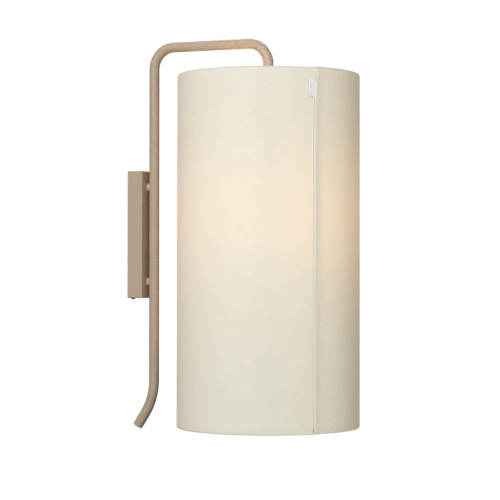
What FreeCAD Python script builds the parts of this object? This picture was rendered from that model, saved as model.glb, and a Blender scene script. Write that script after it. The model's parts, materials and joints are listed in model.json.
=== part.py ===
import FreeCAD, Part
import math
import os
import Sketcher
from FreeCAD import Placement, Rotation, Vector

# Wall light: a slim box on the wall carries a bent tube by two stand-offs; the tube
# arches over and hangs a lampholder with a tall cloth shade.
# Frame: +Z up, wall plane Y = 0, room on the -Y side, origin at the middle of the
# bracket's back. Millimetres.

doc = FreeCAD.newDocument("wall_light")
sheet = doc.addObject("Spreadsheet::Sheet", "dims")

SIZES = (
    # bent tube
    ("tube_dia", 16.0), ("tube_wall", 1.5), ("tube_out", 37.0), ("reach", 199.0),
    ("arm_rise", 300.0), ("bend_radius", 34.0), ("drop_length", 128.0),
    ("tail_drop", 234.0), ("tail_bend", 100.0), ("tail_angle", 33.4),
    ("tail_gap", 1.2), ("plug_rim", 1.0), ("plug_depth", 12.0),
    # box on the wall
    ("housing_width", 44.0), ("housing_height", 204.0), ("housing_depth", 26.0),
    ("housing_wall", 1.2), ("housing_round", 1.5),
    ("bracket_sheet", 2.0), ("bracket_gap", 0.8), ("hook_drop", 17.0),
    ("hook_lip", 10.0), ("hook_out", 14.0), ("swing_gap", 2.5), ("hanger_width", 24.0),
    ("hanger_arm", 10.0), ("slot_pitch", 120.0), ("slot_width", 5.0), ("slot_length", 10.0),
    ("cable_hole", 20.0), ("bush_bore", 12.0), ("bush_rim", 2.5), ("bush_rim_thick", 1.5),
    ("cover_screw_side", 11.5), ("cover_screw_out", 5.0), ("cover_screw_dia", 3.0),
    ("cover_screw_head", 6.6), ("cover_screw_head_thick", 2.0), ("hole_slack", 0.4),
    # stand-offs
    ("standoff_dia", 13.0), ("standoff_inset", 26.0), ("stud_dia", 10.0),
    ("stud_bore", 7.0), ("stud_extra", 1.5), ("washer_thick", 1.0), ("washer_dia", 16.0),
    ("nut_flats", 14.0), ("nut_thick", 3.0),
    # terminal block, earth point, lead clamp
    ("block_rise", 45.0), ("block_width", 28.0), ("block_height", 18.0), ("block_depth", 14.0),
    ("pole_pitch", 9.0), ("pole_out", 8.0), ("sleeve_dia", 4.8), ("sleeve_bore", 3.4),
    ("clamp_row", 10.0), ("clamp_screw_dia", 4.0), ("clamp_screw_thick", 2.0),
    ("fix_screw_dia", 3.0), ("fix_screw_head", 4.0),
    ("earth_side", 14.0), ("earth_rise", 20.0), ("earth_screw_dia", 4.0),
    ("lug_ring", 8.0), ("lug_thick", 0.8), ("lug_barrel", 8.0), ("lug_barrel_dia", 3.4),
    ("lug_lift", 0.3),
    ("wire_dia", 2.2), ("lead_dia", 5.0), ("lead_side", 15.5),
    ("clamp_rise", 25.0), ("clamp_height", 8.0), ("clamp_width", 14.0), ("clamp_depth", 10.5),
    # lampholder
    ("bush_length", 12.0), ("nipple_in", 10.0), ("nipple_out", 12.0),
    ("cap_dia", 41.0), ("cap_height", 24.0), ("cap_wall", 2.0), ("cap_neck", 18.0),
    ("cap_neck_height", 4.0), ("cap_top_wall", 3.0), ("lock_nut_thick", 2.5),
    ("collar_dia", 44.0), ("collar_thick", 3.0), ("spigot_height", 4.0),
    ("skirt_dia", 39.2), ("skirt_length", 33.0), ("socket_bore", 28.2),
    ("carrier_top", 6.0), ("carrier_base", 3.0), ("shell_wall", 0.55), ("shell_length", 27.0),
    ("spring_thick", 0.5), ("spring_drop", 2.0), ("spring_width", 5.0),
    # bulb
    ("bulb_length", 106.0), ("bulb_dia", 60.0), ("bulb_neck", 25.2), ("glass_wall", 0.8),
    ("bulb_cap_dia", 26.4), ("bulb_cap_length", 25.0), ("bulb_cap_wall", 0.4),
    ("bulb_contact_dia", 9.0), ("bulb_contact_thick", 1.5), ("insulator_height", 2.5),
    # shade
    ("shade_top_gap", 51.7), ("shade_height", 552.0), ("shade_dia", 284.0),
    ("shade_flare", 1.5), ("cloth", 0.5), ("liner", 0.3), ("lap_angle", 4.0),
    ("glue_line", 0.04), ("tape", 0.2), ("tape_show", 1.8), ("seam_angle", 38.4), ("ring_wire", 4.0),
    ("hem_turn", 240.0), ("fitter_dia", 66.0), ("fitter_thick", 2.0), ("fitter_slack", 0.5),
    ("arm_foot", 8.0), ("arm_run", 14.0), ("arm_bend", 12.0), ("weld_sink", 0.25),
    ("nut_rim_dia", 56.0), ("nut_rim_thick", 2.5), ("nut_skirt_dia", 46.0),
    ("nut_height", 13.0), ("face_slack", 0.05), ("thread_slack", 0.1),
    ("label_width", 10.6), ("label_height", 26.3), ("label_drop", 19.0),
    ("label_thick", 0.4), ("label_skew", 1.5),
)
for number, (alias, amount) in enumerate(SIZES, start=1):
    sheet.set("A%d" % number, alias)
    sheet.set("B%d" % number, str(amount))
    sheet.setAlias("B%d" % number, alias)
doc.recompute()


def size(alias):
    """The number that the sheet holds under an alias."""
    return float(sheet.get(alias))


nodes = []


def node(item, label):
    """Names a sub-part; its label is also its file name."""
    item.Label = label
    nodes.append(item)
    return item


def bind(item, **exprs):
    for prop, expr in exprs.items():
        item.setExpression(prop.replace("__", "."), expr)
    return item


def place(item, x="0", y="0", z="0"):
    return bind(item, Placement__Base__x=x, Placement__Base__y=y, Placement__Base__z=z)


# Places and sizes that several pieces share, as expressions on the sheet.
AXIS = "(dims.tube_out + dims.reach)"
TUBE_END = "(dims.arm_rise - dims.bend_radius - dims.drop_length)"
FRONT = "dims.housing_depth"
STAND = "(dims.housing_height / 2 - dims.standoff_inset)"
INNER_TOP = "(dims.housing_height / 2 - dims.housing_wall)"
HOOK = "(" + INNER_TOP + " - dims.hook_drop)"
FLANGE = "(" + INNER_TOP + " - dims.swing_gap)"
BRACKET_WIDTH = "(dims.housing_width - 2 * dims.housing_wall - 2 * dims.bracket_gap)"
COLLAR_UNDER = "(dims.cap_height + dims.collar_thick)"
FITTER_TOP = "(" + COLLAR_UNDER + " + dims.face_slack)"
NUT_TOP = "(" + FITTER_TOP + " + dims.fitter_thick + dims.face_slack)"
SHELL_TOP = "(dims.cap_height - dims.spigot_height + dims.carrier_top + dims.carrier_base)"
CONTACT_TOP = "(" + SHELL_TOP + " + dims.spring_drop + dims.face_slack)"

axis_out = size("tube_out") + size("reach")
tube_end = size("arm_rise") - size("bend_radius") - size("drop_length")


# ---------------------------------------------------------------- sketch helpers
def new_body(label):
    return node(doc.addObject("PartDesign::Body", label), label)


def origin_plane(body, role):
    for item in body.Origin.OriginFeatures:
        if item.Role == role:
            return item


def new_sketch(body, role, name, lift=None):
    """A sketch on one of the body's own planes, moved along that plane's normal."""
    sk = body.newObject("Sketcher::SketchObject", name)
    sk.AttachmentSupport = [(origin_plane(body, role), "")]
    sk.MapMode = "FlatFace"
    if lift:
        sk.setExpression("AttachmentOffset.Base.z", lift)
    return sk


def hold(sk, kind, refs, expr, start=1.0):
    """Adds one driving dimension and ties it to the sheet."""
    index = sk.addConstraint(Sketcher.Constraint(kind, *refs, start))
    sk.setExpression("Constraints[%d]" % index, expr)


def outline(sk, corners):
    """A closed polygon; each corner is tied to the sheet along both axes."""
    count = len(corners)
    first = sk.GeometryCount
    spread = [Vector(10 * math.cos(2 * math.pi * k / count),
                     10 * math.sin(2 * math.pi * k / count), 0) for k in range(count)]
    for k in range(count):
        sk.addGeometry(Part.LineSegment(spread[k], spread[(k + 1) % count]), False)
    for k in range(count):
        after = first + (k + 1) % count
        sk.addConstraint(Sketcher.Constraint("Coincident", first + k, 2, after, 1))
    for k, (across, up) in enumerate(corners):
        hold(sk, "DistanceX", (-1, 1, first + k, 1), across, spread[k].x)
        hold(sk, "DistanceY", (-1, 1, first + k, 1), up, spread[k].y)


def box_outline(sk, left, right, low, high):
    outline(sk, [(left, low), (right, low), (right, high), (left, high)])


def circle(sk, dia, across="0", up="0"):
    index = sk.addGeometry(Part.Circle(Vector(1, 1, 0), Vector(0, 0, 1), 2), False)
    hold(sk, "Diameter", (index,), dia, 4.0)
    hold(sk, "DistanceX", (-1, 1, index, 3), across)
    hold(sk, "DistanceY", (-1, 1, index, 3), up)


def pad(body, sk, length, name, flip=False, middle=False):
    step = body.newObject("PartDesign::Pad", name)
    step.Profile = sk
    step.Reversed = flip
    step.Midplane = middle
    step.setExpression("Length", length)
    return step


def pocket(body, sk, length, name, flip=False, middle=False):
    """A cut whose effect is measured, because one that points away cuts nothing."""
    doc.recompute()
    before = body.Shape.Volume
    step = body.newObject("PartDesign::Pocket", name)
    step.Profile = sk
    step.Reversed = flip
    step.Midplane = middle
    step.setExpression("Length", length)
    doc.recompute()
    if body.Shape.Volume > before - 1e-6:
        raise ValueError("%s cuts nothing from %s" % (name, body.Label))
    return step


def turned(body, corners, name="turn"):
    """A solid of revolution about the body's Z axis from radius and height pairs."""
    sk = new_sketch(body, "XZ_Plane", name + "_profile")
    outline(sk, corners)
    step = body.newObject("PartDesign::Revolution", name)
    step.Profile = sk
    step.ReferenceAxis = (sk, ["V_Axis"])
    step.Angle = 360
    return step


def solid_node(label, shape):
    item = node(doc.addObject("Part::Feature", label), label)
    item.Shape = shape
    return item


def group(label, items):
    """Several equal pieces kept as one node."""
    item = node(doc.addObject("Part::Compound", label), label)
    item.Links = items
    return item


def on_axis(item, drop="0"):
    """Hangs a piece on the lampholder's axis, measured down from the tube's end."""
    return place(item, y="-" + AXIS, z=TUBE_END + " - (" + drop + ")")


def facing_room(item):
    """Turns a piece so that its own Z points into the room."""
    item.Placement = Placement(Vector(0, 0, 0), Rotation(Vector(1, 0, 0), 90))
    return item


# ---------------------------------------------------------------- wall bracket
bracket = new_body("wall_bracket")
side = new_sketch(bracket, "YZ_Plane", "bracket_side")
sheet_y = "-dims.bracket_sheet"
lip_back = "-(dims.hook_out - dims.bracket_sheet)"
outline(side, [
    ("0", "-" + FLANGE), ("0", HOOK), (lip_back, HOOK), (lip_back, HOOK + " + dims.hook_lip"),
    ("-dims.hook_out", HOOK + " + dims.hook_lip"),
    ("-dims.hook_out", HOOK + " - dims.bracket_sheet"),
    (sheet_y, HOOK + " - dims.bracket_sheet"),
    (sheet_y, "-" + FLANGE + " + dims.bracket_sheet"),
    ("-dims.hook_out", "-" + FLANGE + " + dims.bracket_sheet"), ("-dims.hook_out", "-" + FLANGE)])
pad(bracket, side, BRACKET_WIDTH, "bracket_fold", middle=True)

holes = new_sketch(bracket, "XZ_Plane", "bracket_holes")
circle(holes, "dims.cable_hole")
circle(holes, "dims.earth_screw_dia", "dims.earth_side", "dims.earth_rise")
circle(holes, "dims.fix_screw_dia", "-dims.pole_pitch / 2", "-dims.block_rise")
circle(holes, "dims.fix_screw_dia", "dims.pole_pitch / 2", "-dims.block_rise")
circle(holes, "dims.fix_screw_dia", "-(dims.lead_side - dims.lead_dia - dims.fix_screw_dia / 2)",
       "dims.clamp_rise")
pocket(bracket, holes, "dims.bracket_sheet", "bracket_drill", flip=True)


def slot(sk, middle, guess):
    """An upright slot with round ends, on the centre line."""
    arm = "(dims.slot_length - dims.slot_width) / 2"
    half, run = size("slot_width") / 2, (size("slot_length") - size("slot_width")) / 2
    top, low = Vector(0, guess + run, 0), Vector(0, guess - run, 0)
    up = Vector(0, 0, 1)
    first = sk.GeometryCount
    sk.addGeometry(Part.ArcOfCircle(Part.Circle(top, up, half), 0, math.pi), False)
    sk.addGeometry(Part.LineSegment(top + Vector(-half, 0, 0), low + Vector(-half, 0, 0)), False)
    sk.addGeometry(Part.ArcOfCircle(Part.Circle(low, up, half), math.pi, 2 * math.pi), False)
    sk.addGeometry(Part.LineSegment(low + Vector(half, 0, 0), top + Vector(half, 0, 0)), False)
    for k in range(4):
        after = first + (k + 1) % 4
        sk.addConstraint(Sketcher.Constraint("Tangent", first + k, 2, after, 1))
    sk.addConstraint(Sketcher.Constraint("Equal", first, first + 2))
    hold(sk, "Radius", (first,), "dims.slot_width / 2", half)
    for part, sign, at in ((first, " + ", top), (first + 2, " - ", low)):
        hold(sk, "DistanceX", (-1, 1, part, 3), "0", 0.0)
        hold(sk, "DistanceY", (-1, 1, part, 3), middle + sign + arm, at.y)


for tag, sign in (("upper", 1), ("lower", -1)):
    slots = new_sketch(bracket, "XZ_Plane", tag + "_slot")
    slot(slots, "%d * dims.slot_pitch / 2" % sign, sign * size("slot_pitch") / 2)
    pocket(bracket, slots, "dims.bracket_sheet", tag + "_slot_cut", flip=True)

tapped = new_sketch(bracket, "XY_Plane", "cover_screw_thread", "-" + FLANGE)
circle(tapped, "dims.cover_screw_dia", "-dims.cover_screw_side", "-dims.cover_screw_out")
pocket(bracket, tapped, "dims.bracket_sheet", "cover_screw_tap", flip=True)

# ---------------------------------------------------------------- cable bush
bush = facing_room(new_body("cable_bush"))
turned(bush, [
    ("dims.bush_bore / 2", "0"), ("dims.cable_hole / 2", "0"),
    ("dims.cable_hole / 2", "dims.bracket_sheet"),
    ("dims.cable_hole / 2 + dims.bush_rim", "dims.bracket_sheet"),
    ("dims.cable_hole / 2 + dims.bush_rim", "dims.bracket_sheet + dims.bush_rim_thick"),
    ("dims.bush_bore / 2", "dims.bracket_sheet + dims.bush_rim_thick")])

# ---------------------------------------------------------------- housing
housing = new_body("housing")
face = new_sketch(housing, "XZ_Plane", "housing_face")
box_outline(face, "-dims.housing_width / 2", "dims.housing_width / 2",
            "-dims.housing_height / 2", "dims.housing_height / 2")
block = pad(housing, face, FRONT, "housing_block")
doc.recompute()
rounded = [
    "Edge%d" % (k + 1) for k, edge in enumerate(block.Shape.Edges)
    if min(v.Y for v in edge.Vertexes) < -1.0]
fillet = housing.newObject("PartDesign::Fillet", "housing_edges")
fillet.Base = (block, rounded)
fillet.setExpression("Radius", "min(dims.housing_round; dims.housing_wall * 2)")
inside = new_sketch(housing, "XZ_Plane", "housing_inside")
box_outline(inside, "-dims.housing_width / 2 + dims.housing_wall",
            "dims.housing_width / 2 - dims.housing_wall", "-" + INNER_TOP, INNER_TOP)
pocket(housing, inside, FRONT + " - dims.housing_wall", "housing_hollow", flip=True)
studs = new_sketch(housing, "XZ_Plane", "stud_holes")
circle(studs, "dims.stud_dia", "0", STAND)
circle(studs, "dims.stud_dia", "0", "-" + STAND)
pocket(housing, studs, FRONT, "stud_cut", flip=True)
below = new_sketch(housing, "XY_Plane", "cover_screw_hole", "-dims.housing_height / 2")
circle(below, "dims.cover_screw_dia + dims.hole_slack", "-dims.cover_screw_side",
       "-dims.cover_screw_out")
pocket(housing, below, "dims.housing_wall", "cover_screw_cut", flip=True)

hanger = new_body("housing_hanger")
strip = new_sketch(hanger, "YZ_Plane", "hanger_side")
leg_back = "-(dims.hook_out - dims.bracket_sheet - dims.housing_wall)"
outline(strip, [
    (leg_back, HOOK), (leg_back, INNER_TOP), (lip_back + " - dims.hanger_arm", INNER_TOP),
    (lip_back + " - dims.hanger_arm", INNER_TOP + " - dims.housing_wall"),
    (lip_back, INNER_TOP + " - dims.housing_wall"), (lip_back, HOOK)])
pad(hanger, strip, "dims.hanger_width", "hanger_fold", middle=True)

# ---------------------------------------------------------------- cover screw
cover_screw = new_body("cover_screw")
turned(cover_screw, [
    ("0", "-dims.cover_screw_head_thick"),
    ("dims.cover_screw_head * 0.32", "-dims.cover_screw_head_thick"),
    ("dims.cover_screw_head / 2", "-dims.cover_screw_head_thick * 0.4"),
    ("dims.cover_screw_head / 2", "0"), ("dims.cover_screw_dia / 2", "0"),
    ("dims.cover_screw_dia / 2",
     "dims.housing_wall + dims.swing_gap + dims.bracket_sheet + 1.5"),
    ("0", "dims.housing_wall + dims.swing_gap + dims.bracket_sheet + 1.5")])
for tag, across, up in (("a", 0.36, 0.09), ("b", 0.09, 0.36)):
    cross = new_sketch(cover_screw, "XY_Plane", "cross_" + tag, "-dims.cover_screw_head_thick")
    wide = "dims.cover_screw_head * %.2f" % across
    tall = "dims.cover_screw_head * %.2f" % up
    box_outline(cross, "-" + wide, wide, "-" + tall, tall)
    pocket(cover_screw, cross, "dims.cover_screw_head_thick / 2", "cross_cut_" + tag, flip=True)
place(cover_screw, "-dims.cover_screw_side", "-dims.cover_screw_out", "-dims.housing_height / 2")

# ---------------------------------------------------------------- stand-offs
STUD_IN = ("(dims.housing_wall + dims.washer_thick + dims.nut_thick + dims.stud_extra)")
for label, sign in (("standoff_upper", ""), ("standoff_lower", "-")):
    stand = facing_room(new_body(label))
    turned(stand, [
        ("dims.stud_bore / 2", "-" + STUD_IN), ("dims.stud_dia / 2", "-" + STUD_IN),
        ("dims.stud_dia / 2", "0"), ("dims.standoff_dia / 2", "0"),
        ("dims.standoff_dia / 2", "dims.tube_out - dims.housing_depth"),
        ("dims.stud_bore / 2", "dims.tube_out - dims.housing_depth")])
    saddle = new_sketch(stand, "XZ_Plane", "saddle")
    circle(saddle, "dims.tube_dia", "0", "dims.tube_out - dims.housing_depth")
    pocket(stand, saddle, "dims.tube_dia * 2", "saddle_cut", middle=True)
    place(stand, y="-" + FRONT, z=sign + STAND)


def pair(label, make):
    """The same fastener at the upper and the lower stand-off."""
    both = []
    for tag, sign in (("_up", ""), ("_down", "-")):
        item = make(label + tag)
        both.append(place(item, y="-" + FRONT + " + dims.housing_wall" + make.lift,
                          z=sign + STAND))
    return group(label, both)


def washer(name):
    outer = doc.addObject("Part::Cylinder", name + "_disc")
    bind(outer, Radius="dims.washer_dia / 2", Height="dims.washer_thick")
    hole = doc.addObject("Part::Cylinder", name + "_hole")
    bind(hole, Radius="dims.stud_dia / 2", Height="dims.washer_thick")
    cut = doc.addObject("Part::Cut", name)
    cut.Base, cut.Tool = outer, hole
    cut.Placement = Placement(Vector(0, 0, 0), Rotation(Vector(1, 0, 0), -90))
    return cut


def hex_nut(name):
    outer = doc.addObject("Part::Prism", name + "_hex")
    outer.Polygon = 6
    bind(outer, Circumradius="dims.nut_flats / sqrt(3)", Height="dims.nut_thick")
    hole = doc.addObject("Part::Cylinder", name + "_hole")
    bind(hole, Radius="dims.stud_dia / 2", Height="dims.nut_thick")
    cut = doc.addObject("Part::Cut", name)
    cut.Base, cut.Tool = outer, hole
    cut.Placement = Placement(Vector(0, 0, 0), Rotation(Vector(1, 0, 0), -90))
    return cut


washer.lift = ""
hex_nut.lift = " + dims.washer_thick"
pair("stud_washers", washer)
pair("stud_nuts", hex_nut)

# ---------------------------------------------------------------- bent tube
tail = math.radians(size("tail_angle"))
TAIL_RUN = ("((dims.tube_out - dims.tail_gap - dims.tail_bend * (1 - cos(dims.tail_angle))"
            " - dims.tube_dia / 2 * cos(dims.tail_angle) - dims.plug_rim * sin(dims.tail_angle))"
            " / sin(dims.tail_angle))")
tail_run = (size("tube_out") - size("tail_gap") - size("tail_bend") * (1 - math.cos(tail))
            - size("tube_dia") / 2 * math.cos(tail)
            - size("plug_rim") * math.sin(tail)) / math.sin(tail)
tube = new_body("tube_frame")
route = new_sketch(tube, "YZ_Plane", "tube_route")
bend, top, out = size("bend_radius"), size("arm_rise"), size("tube_out")
drop, curl = size("tail_drop"), size("tail_bend")
flat = Vector(0, 0, 1)
curl_end = Vector(-out + curl * (1 - math.cos(tail)), -drop - curl * math.sin(tail), 0)
runs = [
    Part.LineSegment(Vector(-axis_out, tube_end, 0), Vector(-axis_out, top - bend, 0)),
    Part.ArcOfCircle(Part.Circle(Vector(-axis_out + bend, top - bend, 0), flat, bend),
                     math.pi / 2, math.pi),
    Part.LineSegment(Vector(-axis_out + bend, top, 0), Vector(-out - bend, top, 0)),
    Part.ArcOfCircle(Part.Circle(Vector(-out - bend, top - bend, 0), flat, bend), 0, math.pi / 2),
    Part.LineSegment(Vector(-out, top - bend, 0), Vector(-out, -drop, 0)),
    Part.ArcOfCircle(Part.Circle(Vector(-out + curl, -drop, 0), flat, curl),
                     math.pi, math.pi + tail),
    Part.LineSegment(curl_end, curl_end + Vector(math.sin(tail), -math.cos(tail), 0) * tail_run)]
for run in runs:
    route.addGeometry(run, False)
# each run starts where the last one ends: (run, its end) to (next run, its start)
for joint in ((0, 2, 1, 2), (1, 1, 2, 1), (2, 2, 3, 2), (3, 1, 4, 1), (4, 2, 5, 1), (5, 2, 6, 1)):
    route.addConstraint(Sketcher.Constraint("Tangent", *joint))
route.addConstraint(Sketcher.Constraint("Vertical", 0))
route.addConstraint(Sketcher.Constraint("Horizontal", 2))
route.addConstraint(Sketcher.Constraint("Vertical", 4))
hold(route, "Radius", (1,), "dims.bend_radius", bend)
hold(route, "Radius", (3,), "dims.bend_radius", bend)
hold(route, "Radius", (5,), "dims.tail_bend", curl)
hold(route, "DistanceX", (-1, 1, 0, 1), "-" + AXIS, -axis_out)
hold(route, "DistanceY", (-1, 1, 0, 1), TUBE_END, tube_end)
hold(route, "DistanceY", (-1, 1, 2, 1), "dims.arm_rise", top)
hold(route, "DistanceX", (-1, 1, 4, 1), "-dims.tube_out", -out)
hold(route, "DistanceY", (-1, 1, 4, 2), "-dims.tail_drop", -drop)
hold(route, "DistanceX", (6, 1, 6, 2), TAIL_RUN + " * sin(dims.tail_angle)",
     tail_run * math.sin(tail))
hold(route, "DistanceY", (6, 2, 6, 1), TAIL_RUN + " * cos(dims.tail_angle)",
     tail_run * math.cos(tail))
ring = new_sketch(tube, "XY_Plane", "tube_ring", TUBE_END)
circle(ring, "dims.tube_dia", "0", "-" + AXIS)
circle(ring, "dims.tube_dia - 2 * dims.tube_wall", "0", "-" + AXIS)
sweep = tube.newObject("PartDesign::AdditivePipe", "tube_sweep")
sweep.Profile = ring
sweep.Spine = (route, [])
doc.recompute()
ports = new_sketch(tube, "XZ_Plane", "lead_ports")
circle(ports, "dims.stud_bore", "0", STAND)
circle(ports, "dims.stud_bore", "0", "-" + STAND)
pocket(tube, ports, "dims.tube_out", "lead_port_cut", flip=True)

plug = new_body("tail_plug")
turned(plug, [
    ("0", "-dims.plug_depth"), ("dims.tube_dia / 2 - dims.tube_wall - 0.5", "-dims.plug_depth"),
    ("dims.tube_dia / 2 - dims.tube_wall", "-dims.plug_depth + 1"),
    ("dims.tube_dia / 2 - dims.tube_wall", "0"), ("dims.tube_dia / 2", "0"),
    ("dims.tube_dia / 2", "dims.plug_rim * 0.6"),
    ("dims.tube_dia / 2 - dims.plug_rim * 0.4", "dims.plug_rim"), ("0", "dims.plug_rim")])
plug.Placement = Placement(Vector(0, 0, 0), Rotation(Vector(1, 0, 0), 180 + size("tail_angle")))
place(plug, y="-dims.tube_out + dims.tail_bend * (1 - cos(dims.tail_angle)) + " + TAIL_RUN
      + " * sin(dims.tail_angle)",
      z="-dims.tail_drop - dims.tail_bend * sin(dims.tail_angle) - " + TAIL_RUN
      + " * cos(dims.tail_angle)")

# ---------------------------------------------------------------- tube end and lampholder
end_bush = new_body("tube_end_bush")
turned(end_bush, [
    ("dims.stud_dia / 2", "0"), ("dims.tube_dia / 2 - dims.tube_wall", "0"),
    ("dims.tube_dia / 2 - dims.tube_wall", "dims.bush_length"),
    ("dims.stud_dia / 2", "dims.bush_length")])
on_axis(end_bush)
nipple = new_body("holder_nipple")
turned(nipple, [
    ("dims.stud_bore / 2", "-dims.nipple_out"), ("dims.stud_dia / 2", "-dims.nipple_out"),
    ("dims.stud_dia / 2", "dims.nipple_in"), ("dims.stud_bore / 2", "dims.nipple_in")])
on_axis(nipple)
cap = new_body("holder_cap")
inner = "dims.cap_dia / 2 - dims.cap_wall"
shoulder = "dims.cap_dia / 2 - dims.cap_height * 0.33"
turned(cap, [
    ("dims.stud_dia / 2", "0"), ("dims.cap_neck / 2", "0"),
    ("dims.cap_neck / 2", "-dims.cap_neck_height"),
    (shoulder, "-dims.cap_neck_height - 1.5"),
    ("dims.cap_dia / 2 - 2", "-dims.cap_height * 0.5"),
    ("dims.cap_dia / 2", "-dims.cap_height * 0.7"), ("dims.cap_dia / 2", "-dims.cap_height"),
    (inner, "-dims.cap_height"), (inner, "-dims.cap_height * 0.7"),
    (shoulder + " - 1", "-dims.cap_neck_height - dims.cap_top_wall"),
    ("dims.stud_dia / 2", "-dims.cap_neck_height - dims.cap_top_wall")])
on_axis(cap)
lock = doc.addObject("Part::Prism", "lock_hex")
lock.Polygon = 6
bind(lock, Circumradius="dims.nut_flats / sqrt(3)", Height="dims.lock_nut_thick")
lock_hole = doc.addObject("Part::Cylinder", "lock_hole")
bind(lock_hole, Radius="dims.stud_dia / 2", Height="dims.lock_nut_thick")
lock_nut = node(doc.addObject("Part::Cut", "holder_lock_nut"), "holder_lock_nut")
lock_nut.Base, lock_nut.Tool = lock, lock_hole
on_axis(lock_nut, "dims.cap_neck_height + dims.cap_top_wall + dims.lock_nut_thick")

holder = new_body("holder_body")
turned(holder, [
    ("dims.socket_bore / 2", "-" + COLLAR_UNDER + " - dims.skirt_length"),
    ("dims.skirt_dia / 2 - 1", "-" + COLLAR_UNDER + " - dims.skirt_length"),
    ("dims.skirt_dia / 2", "-" + COLLAR_UNDER + " - dims.skirt_length + 1"),
    ("dims.skirt_dia / 2", "-" + COLLAR_UNDER), ("dims.collar_dia / 2", "-" + COLLAR_UNDER),
    ("dims.collar_dia / 2", "-dims.cap_height"), (inner, "-dims.cap_height"),
    (inner, "-dims.cap_height + dims.spigot_height"),
    ("dims.socket_bore / 2", "-dims.cap_height + dims.spigot_height")])
on_axis(holder)
carrier = new_body("contact_carrier")
turned(carrier, [
    ("0", "-" + SHELL_TOP), ("dims.socket_bore / 2", "-" + SHELL_TOP),
    ("dims.socket_bore / 2", "-dims.cap_height + dims.spigot_height"),
    ("dims.socket_bore / 2 - 3", "-dims.cap_height + dims.spigot_height + 2"),
    ("0", "-dims.cap_height + dims.spigot_height + 2")])
wells = new_sketch(carrier, "XY_Plane", "core_wells",
                   "-dims.cap_height + dims.spigot_height + 2")
for sign in ("-", ""):
    circle(wells, "dims.wire_dia + dims.hole_slack", sign + "dims.socket_bore / 5")
pocket(carrier, wells, "dims.carrier_top", "core_well_cut")
heads = new_sketch(carrier, "XY_Plane", "screw_wells",
                   "-dims.cap_height + dims.spigot_height + 2")
for sign in ("-", ""):
    circle(heads, "dims.clamp_screw_dia + dims.hole_slack", sign + "dims.socket_bore / 5",
           "dims.socket_bore / 5")
pocket(carrier, heads, "dims.carrier_top / 2", "screw_well_cut")
on_axis(carrier)
carrier_screws = []
for tag, sign in (("left", "-"), ("right", "")):
    item = doc.addObject("Part::Cylinder", "carrier_screw_" + tag)
    bind(item, Radius="dims.clamp_screw_dia / 2", Height="dims.carrier_top / 2")
    place(item, x=sign + "dims.socket_bore / 5", y="-" + AXIS + " + dims.socket_bore / 5",
          z=TUBE_END + " - dims.cap_height + dims.spigot_height + 2 - dims.carrier_top / 2")
    carrier_screws.append(item)
group("carrier_screws", carrier_screws)
shell = new_body("socket_shell")
turned(shell, [
    ("dims.socket_bore / 2 - dims.shell_wall", "-dims.shell_length"),
    ("dims.socket_bore / 2", "-dims.shell_length"), ("dims.socket_bore / 2", "0"),
    ("dims.socket_bore / 2 - 4", "0"), ("dims.socket_bore / 2 - 4", "-dims.shell_wall"),
    ("dims.socket_bore / 2 - dims.shell_wall", "-dims.shell_wall")])
on_axis(shell, SHELL_TOP)
spring = new_body("centre_contact")
leaf = new_sketch(spring, "XZ_Plane", "leaf_side")
half = "dims.spring_width"
outline(leaf, [
    ("-" + half, "0"), ("-" + half, "-dims.spring_thick"),
    ("-" + half + " / 2", "-dims.spring_drop"), (half + " / 2", "-dims.spring_drop"),
    (half, "-dims.spring_thick"), (half, "0"),
    (half + " - dims.spring_thick", "0"),
    (half + " / 2 - dims.spring_thick / 2", "-dims.spring_drop + dims.spring_thick"),
    ("-" + half + " / 2 + dims.spring_thick / 2", "-dims.spring_drop + dims.spring_thick"),
    ("-" + half + " + dims.spring_thick", "0")])
pad(spring, leaf, "dims.spring_width", "leaf_fold", middle=True)
on_axis(spring, SHELL_TOP)

# ---------------------------------------------------------------- shade ring nut
ring_nut = new_body("shade_ring_nut")
bore = "dims.skirt_dia / 2 + dims.thread_slack"
turned(ring_nut, [
    (bore, "0"), ("dims.nut_rim_dia / 2", "0"), ("dims.nut_rim_dia / 2", "-dims.nut_rim_thick"),
    ("dims.nut_skirt_dia / 2 + 0.5", "-dims.nut_rim_thick"),
    ("dims.nut_skirt_dia / 2", "-dims.nut_height"), (bore, "-dims.nut_height")])
on_axis(ring_nut, NUT_TOP)

# ---------------------------------------------------------------- bulb
tip_drop = (size("cap_height") - size("spigot_height") + size("carrier_top")
            + size("carrier_base") + size("spring_drop") + size("face_slack"))
contact = node(doc.addObject("Part::Cylinder", "bulb_contact"), "bulb_contact")
bind(contact, Radius="dims.bulb_contact_dia / 2", Height="dims.bulb_contact_thick")
on_axis(contact, CONTACT_TOP + " + dims.bulb_contact_thick")
insulator = node(doc.addObject("Part::Cone", "bulb_insulator"), "bulb_insulator")
bind(insulator, Radius1="dims.bulb_cap_dia / 2 - 1.5", Radius2="dims.bulb_contact_dia / 2 + 1",
     Height="dims.insulator_height")
on_axis(insulator, CONTACT_TOP + " + dims.bulb_contact_thick + dims.insulator_height")
bulb_cap = new_body("bulb_cap")
cap_r = "dims.bulb_cap_dia / 2"
turned(bulb_cap, [
    (cap_r + " - 1.5", "0"), (cap_r + " - 0.5", "-1"), (cap_r, "-2"),
    (cap_r, "-dims.bulb_cap_length"),
    (cap_r + " - dims.bulb_cap_wall", "-dims.bulb_cap_length"),
    (cap_r + " - dims.bulb_cap_wall", "-3"), ("dims.bulb_contact_dia / 2", "-1.5"),
    ("dims.bulb_contact_dia / 2", "0")])
on_axis(bulb_cap, CONTACT_TOP + " + dims.bulb_contact_thick + dims.insulator_height")


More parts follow.
